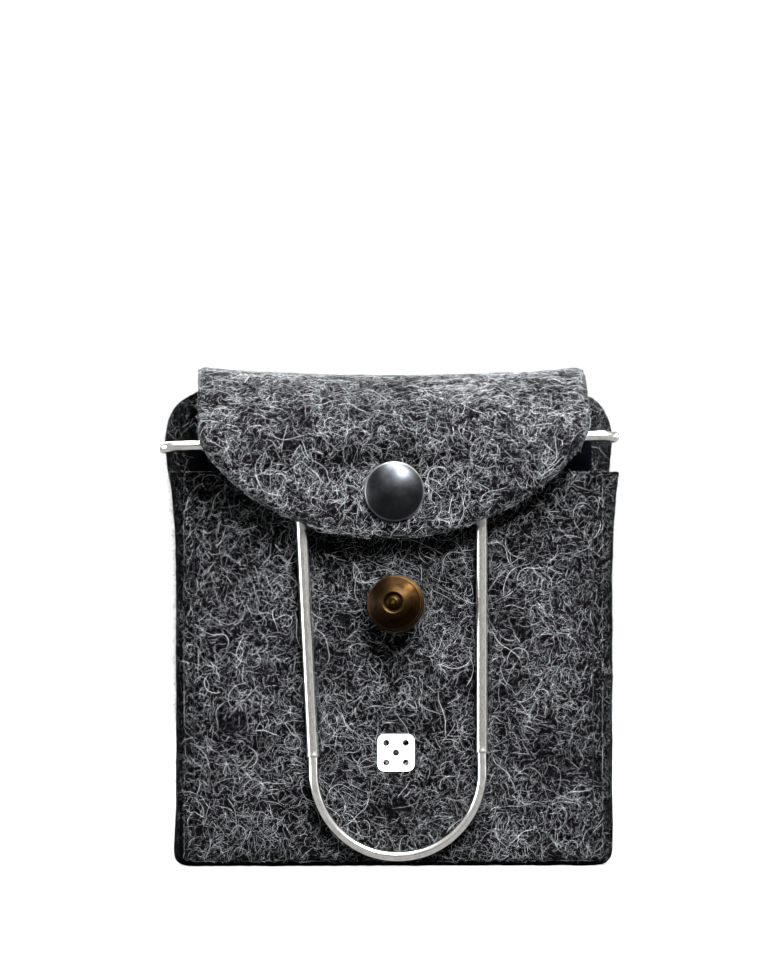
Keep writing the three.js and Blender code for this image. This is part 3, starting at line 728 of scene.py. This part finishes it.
# Painted shade: the shoulders' short nap gets much darker tones than the rest of the felt, for the shade
# beside the flap.
HAIRS["shoulders"] = grow_fibres("nap_shoulders_painted_shade", surface, 3800, 43, shoulder_weight, tones=(0.005, 0.08),
                                 **{**NAP, "length": (0.4, 1.3), "points": 5})

for piece in (front, gusset, HAIRS["front"], HAIRS["front_nap"], HAIRS["gusset"]):
    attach(piece, "case")
for piece in (wrap, HAIRS["wrap"], HAIRS["wrap_nap"], HAIRS["wrap_rim"], HAIRS["shoulders"]):
    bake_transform(piece)
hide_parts("front_panel")
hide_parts("gusset")
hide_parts("back_panel", "flap")

# ------------------------------------------------------------------------- stitches
def stitches(name, node, sign, outward):
    """A row of thread stitches, each dipping into the felt at both ends."""
    low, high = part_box(node)
    face = (FRONT_LO.y if outward < 0 else BACK_HI.y)
    count = int((high.z - low.z) / STITCH)
    rows, sides = 9, 8
    t = np.linspace(-1, 1, rows)
    angles = np.linspace(0, 2 * math.pi, sides, endpoint=False)
    vertices, quads, caps = [], [], []
    for k in range(count):
        z = low.z + (k + 0.5) * STITCH + t * STITCH * 0.47
        depth = (0.72 + 0.5 * np.abs(t) ** 4) * MM
        x = np.full(rows, sign * SEAM_X + 0.04 * MM * math.sin(k * 2.4))
        centre = np.stack([x, face + outward * (-depth + 0.12 * MM), z], -1)
        r = 0.24 * MM * (1 - 0.25 * np.abs(t) ** 3)
        ring = centre[:, None] + r[:, None, None] * np.stack(
            [np.cos(angles), np.sin(angles) * outward * -1, np.zeros(sides)], -1)[None]
        base = k * rows * sides
        vertices.append(ring.reshape(-1, 3))
        quads.append(grid_faces(rows, sides) + base)
        c = np.arange(1, sides - 1)
        caps.append(np.stack([np.full(len(c), 0), c + 1, c], -1) + base)
        top = (rows - 1) * sides
        caps.append(np.stack([np.full(len(c), top), top + c, top + c + 1], -1) + base)
    threads = add_mesh(name, np.concatenate(vertices), [np.concatenate(quads), np.concatenate(caps)])
    made = dress(threads, THREAD)
    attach(made, "case")
    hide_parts(node)
    return made


for side, sign in (("left", -1), ("right", 1)):
    stitches(f"stitches_front_{side}", f"seam_front_{side}", sign, -1)
    stitches(f"stitches_back_{side}", f"seam_back_{side}", sign, 1)

# ------------------------------------------------------------------------- snap fastener
cap_low, cap_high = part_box("snap_cap")
cap_radius = (cap_high.x - cap_low.x) / 2 / MM
cap_base = Vector((SNAP_CENTRE.x, cap_high.y, SNAP_CENTRE.z))
cap_profile = [
    (0, 0.15), (cap_radius - 0.55, 0.1), (cap_radius - 0.2, 0.02), (cap_radius, 0.3),
    (cap_radius - 0.04, 0.52), (cap_radius - 0.15, 0.70), (cap_radius - 0.40, 0.88),
]
for share in np.linspace(0.95, 0.0, 22):
    radius = (cap_radius - 0.42) * share
    cap_profile.append((radius, 0.92 + 2.3 * (1 - share ** 2) ** 0.92))
cap = dress(lathe("snap_cap_dome", cap_profile, cap_base, (0, -1, 0), 128), GUNMETAL)
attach(cap, "flap")
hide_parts("snap_cap")

# ------------------------------------------------------------------------- knob
knob_profile = rounded([
    (0, 0.2), (4.4, 0.0), (4.6, 1.0), (6.9, 1.2), (7.15, 1.5), (7.15, 2.6), (6.98, 2.8), (6.6, 2.9),
    (6.6, 3.3), (6.95, 3.42), (7.0, 4.35), (6.8, 4.6), (6.5, 4.7), (6.48, 4.98), (6.66, 5.1),
    (6.56, 5.45), (6.15, 5.78), (4.5, 6.55), (2.8, 7.3), (2.5, 7.22), (2.2, 6.86), (1.95, 6.8),
    (1.68, 6.92), (1.6, 7.2), (1.3, 7.5), (0.7, 7.66), (0, 7.7),
])
knob = dress(lathe("knob_turned", knob_profile, KNOB_FOOT, KNOB_AXIS, 128, 0.6), BRASS)
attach(knob, "knob")
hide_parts("knob")

# ------------------------------------------------------------------------- bail
LEG_TOP, BOW_R, SLEEVE_END, BOW_CENTRE, CORNER = 23.0, 21.1, -78.5, -82.65, 3.5
WIRE_R, SLEEVE_R = 1.2, 1.42
TIP_X = 57.6 - WIRE_R
TIP_DROP = 0.16           # drop over the bend, and then for each millimetre that the end runs back


def hang(points):
    """From the bail's own frame, in millimetres, to the row frame."""
    across = np.array(BAIL_AXIS)
    up = np.array([-across[2], 0, across[0]])
    points = np.array(points, float) * MM
    back = np.array([0, 1, 0])
    return np.array(BAIL_CENTRE) + points[:, :1] * across + points[:, 1:2] * back + points[:, 2:] * up


def leg_x(height):
    return LEG_TOP + (BOW_R - LEG_TOP) * min(1.0, height / SLEEVE_END)


def half_bail():
    """Right half of the wire, in millimetres: the end that turns back, the rail, the leg and the bow."""
    points = []
    bend = 2.6
    for back in np.linspace(5.2, bend, 6):
        points.append((TIP_X, back, -TIP_DROP * (back - bend + 1)))
    for angle in np.linspace(0, math.pi / 2, 12)[1:]:
        cosine, sine = math.cos(angle), math.sin(angle)
        points.append((TIP_X - bend * (1 - cosine), bend * (1 - sine), -TIP_DROP * cosine))
    for x in np.linspace(TIP_X - bend, LEG_TOP + CORNER, 10)[1:-1]:
        points.append((x, 0, 0))
    for angle in np.linspace(0, math.pi / 2, 12):
        points.append((LEG_TOP + CORNER * (1 - math.sin(angle)), 0, -CORNER * (1 - math.cos(angle))))
    for height in np.linspace(-8, SLEEVE_END, 18):
        points.append((leg_x(height), 0, height))
    for angle in np.linspace(0, math.pi / 2, 40)[:-1]:
        points.append((BOW_R * math.cos(angle), 0, BOW_CENTRE - BOW_R * math.sin(angle)))
    return points


half = half_bail()
whole = half + [(0, 0, BOW_CENTRE - BOW_R)] + [(-x, y, z) for x, y, z in reversed(half)]
wire = dress(tube("bail_bent_wire", hang(whole), WIRE_R * MM, 28), WIRE)
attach(wire, "bail")
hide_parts("bail_wire")

SLEEVE_HEAD = -7
SLEEVE_GROOVE = ((15.2, 1.42), (14.8, 1.36), (14.4, 1.35), (14.0, 1.41))  # (distance below the head, radius)
SLEEVE_TOP = ((8, SLEEVE_R), (0.3, SLEEVE_R), (0.05, 1.36), (0, 1.22))
sleeve_length = abs(SLEEVE_END) - abs(SLEEVE_HEAD)
# (distance up from the foot, radius) in millimetres: a swollen lip, a plain run, the groove and the top.
sleeve_profile = [(0.0, 1.22), (0.05, 1.42), (0.2, 1.56), (0.55, 1.57), (0.85, 1.5), (1.15, SLEEVE_R)]
sleeve_profile += [(along, SLEEVE_R) for along in np.linspace(2.0, sleeve_length - 16.0, 16)]
sleeve_profile += [(sleeve_length - below, radius) for below, radius in SLEEVE_GROOVE + SLEEVE_TOP]
for side, sign in (("left", -1), ("right", 1)):
    foot = np.array([sign * leg_x(SLEEVE_END), 0, SLEEVE_END])
    head = np.array([sign * leg_x(SLEEVE_HEAD), 0, SLEEVE_HEAD])
    run = (head - foot) / np.linalg.norm(head - foot)
    middle = hang([foot + run * along for along, _ in sleeve_profile])
    radii = np.array([radius for _, radius in sleeve_profile]) * MM
    sleeve = tube(f"bail_sleeve_tube_{side}", middle, radii, 28)
    dress(sleeve, SLEEVE)
    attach(sleeve, "bail")
    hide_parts(f"bail_sleeve_{side}")

# ------------------------------------------------------------------------- emblem
def emblem_piece():
    """Die face: a rounded square plate with five open pips, laid on the felt as a thin film."""
    low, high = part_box("emblem")
    centre = (low + high) / 2
    half, corner, spread, pip = (high.x - low.x) / 2, 1.7 * MM, 2.45 * MM, 0.85 * MM
    curve = bpy.data.curves.new("emblem_outline", "CURVE")
    curve.dimensions = "2D"
    curve.fill_mode = "BOTH"
    curve.extrude = 0.07 * MM
    curve.bevel_depth = 0.03 * MM

    def loop(points):
        spline = curve.splines.new("POLY")
        spline.points.add(len(points) - 1)
        for target, (x, y) in zip(spline.points, points):
            target.co = (x, y, 0, 1)
        spline.use_cyclic_u = True

    outline = []
    for cx, cy, start in ((1, 1, 0), (-1, 1, 90), (-1, -1, 180), (1, -1, 270)):
        for angle in np.radians(np.linspace(start, start + 90, 12)):
            x = cx * (half - corner) + corner * math.cos(angle)
            y = cy * (half - corner) + corner * math.sin(angle)
            outline.append((x, y))
    loop(outline)
    turn = np.linspace(0, 2 * math.pi, 28, endpoint=False)
    for cx, cy in ((0, 0), (1, 1), (1, -1), (-1, 1), (-1, -1)):
        loop([(cx * spread + pip * math.cos(a), cy * spread + pip * math.sin(a)) for a in turn])
    source = bpy.data.objects.new("emblem_source", curve)
    bpy.context.scene.collection.objects.link(source)
    place = Matrix.Translation((centre.x, FRONT_LO.y - 0.10 * MM, centre.z))
    source.matrix_world = place @ Matrix.Rotation(math.pi / 2, 4, "X")
    bpy.context.view_layer.update()
    made = evaluated_copy(source, "emblem_film")
    made.data.transform(source.matrix_world)
    bpy.data.objects.remove(source)
    dress(made, PRINT)
    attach(made, "case")
    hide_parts("emblem")


emblem_piece()

# ------------------------------------------------------------------------- carried-over CAD nodes
CARRIED_OVER = (
    (LINER, ["inner_box"]),
    (GUNMETAL, ["snap_post", "snap_socket", "snap_stud", "snap_stud_post"]),
    (FIXING, ["knob_shank", "knob_spacer", "knob_nut", "rail_clip_left", "rail_clip_right",
              "clip_rivet_left", "clip_rivet_right"]),
)
for material, nodes in CARRIED_OVER:
    for node in nodes:
        carried = frame["nodes"][node]
        carried.data.materials.clear()
        carried.data.materials.append(material)

# ------------------------------------------------------------------------- studio
def stage_material(name, colour, glow):
    s = Shader(name)
    tint = s.noise(s.place(), 3.0, 2.0, 0.5)
    s.set(Base_Color=s.mix(s.ramp(tint, 0.3, 0.7), colour, tuple(c * 0.985 for c in colour)), Roughness=0.8)
    s.surface.inputs["Specular IOR Level"].default_value = 0.1
    s.surface.inputs["Emission Color"].default_value = (1, 1, 1, 1)
    away = s.add("ShaderNodeVectorMath", {0: s.place()}, 1, operation="LENGTH")
    s.put(s.surface.inputs["Emission Strength"], s.ramp(away, 0.12, 0.34, glow * 0.84, glow))
    return s.material


def build_stage():
    """A round white cove: floor, curve and wall, so the backdrop is the same from every side."""
    profile = [(0.001, 0.0), (0.5, 0.0), (2.0, 0.0)]
    for angle in np.radians(np.linspace(0, 90, 12)[1:]):
        profile.append((2.0 + 0.6 * math.sin(angle), 0.6 * (1 - math.cos(angle))))
    profile.append((2.6, 3.4))
    turn = np.linspace(0, 2 * math.pi, 96, endpoint=False)
    vertices = [(r * math.cos(a), r * math.sin(a), z) for r, z in profile for a in turn]
    cove = add_mesh("studio_cove", np.array(vertices), [grid_faces(len(profile), 96)])
    cove.data.materials.append(stage_material("studio_white", (0.025, 0.025, 0.025), 1.0))
    cove.visible_diffuse = cove.visible_glossy = cove.visible_shadow = False


def build_flag():
    """The dark gap between the softboxes where the camera stands, seen only in the metal."""
    corners = [(-0.17, -1.75, -0.02), (0.13, -1.75, -0.02), (0.13, -1.75, 0.5), (-0.17, -1.75, 0.5)]
    flag = add_mesh("studio_flag", np.array(corners), [np.array([[0, 1, 2, 3]])], smooth=False)
    s = Shader("studio_black")
    cloud = s.ramp(s.noise(s.place(), 9.0), 0.3, 0.7)
    s.set(Base_Color=s.mix(cloud, (0.002, 0.002, 0.002), (0.004, 0.004, 0.004)), Roughness=0.9)
    flag.data.materials.append(s.material)
    flag.visible_camera = flag.visible_diffuse = flag.visible_shadow = False


build_stage()
build_flag()


def area_light(name, where, target, size, power):
    data = bpy.data.lights.new(name, "AREA")
    data.shape = "RECTANGLE"
    data.size, data.size_y = size
    data.energy = power
    made = bpy.data.objects.new(name, data)
    made.location = where
    made.rotation_euler = (Vector(target) - Vector(where)).to_track_quat("-Z", "Y").to_euler()
    bpy.context.scene.collection.objects.link(made)


AIM = (0, 0, 0.065)
area_light("top_box", (0.02, -0.21, 0.60), AIM, (0.26, 0.14), 23.0)
area_light("key_box", (0.23, -0.45, 0.60), AIM, (0.20, 0.20), 54.0)
area_light("left_box", (-0.80, -0.06, 0.12), AIM, (0.46, 0.46), 13.0)
area_light("right_box", (0.80, -0.10, 0.12), AIM, (0.40, 0.40), 0.6)
# These two stand behind the front face. They are there for the back, the top and the right side.
area_light("back_box", (-0.12, 0.80, 0.34), AIM, (0.50, 0.50), 34.0)
area_light("back_right_box", (0.78, 0.30, 0.26), AIM, (0.40, 0.40), 15.0)

world = bpy.data.worlds.new("studio")
bpy.context.scene.world = world
world.use_nodes = True
world.node_tree.nodes["Background"].inputs[0].default_value = (1, 1, 1, 1)
world.node_tree.nodes["Background"].inputs[1].default_value = 0.55

scene = bpy.context.scene
scene.view_settings.view_transform = "Standard"
scene.view_settings.look = "None"

# ------------------------------------------------------------------------- camera
SENSOR_WIDTH = 36.0       # millimetres
DISTANCE = 1.42
VIEW_HEIGHT = 0.240       # metres from the bottom to the top of the picture, at the front of the case
FRONT_FACE = 0.02         # metres from the origin to the front of the case
camera_data = bpy.data.cameras.new("camera")
camera_data.sensor_width = SENSOR_WIDTH
camera_data.lens = SENSOR_WIDTH * (DISTANCE - FRONT_FACE) / VIEW_HEIGHT
camera_data.clip_start, camera_data.clip_end = 0.1, 20.0
camera = bpy.data.objects.new("camera", camera_data)
scene.collection.objects.link(camera)
camera.location = (-0.044, -DISTANCE, 0.097)
look = Vector((-0.0024, -0.02, 0.0968)) - Vector(camera.location)
camera.rotation_euler = look.to_track_quat("-Z", "Y").to_euler()
scene.camera = camera

bpy.context.view_layer.update()
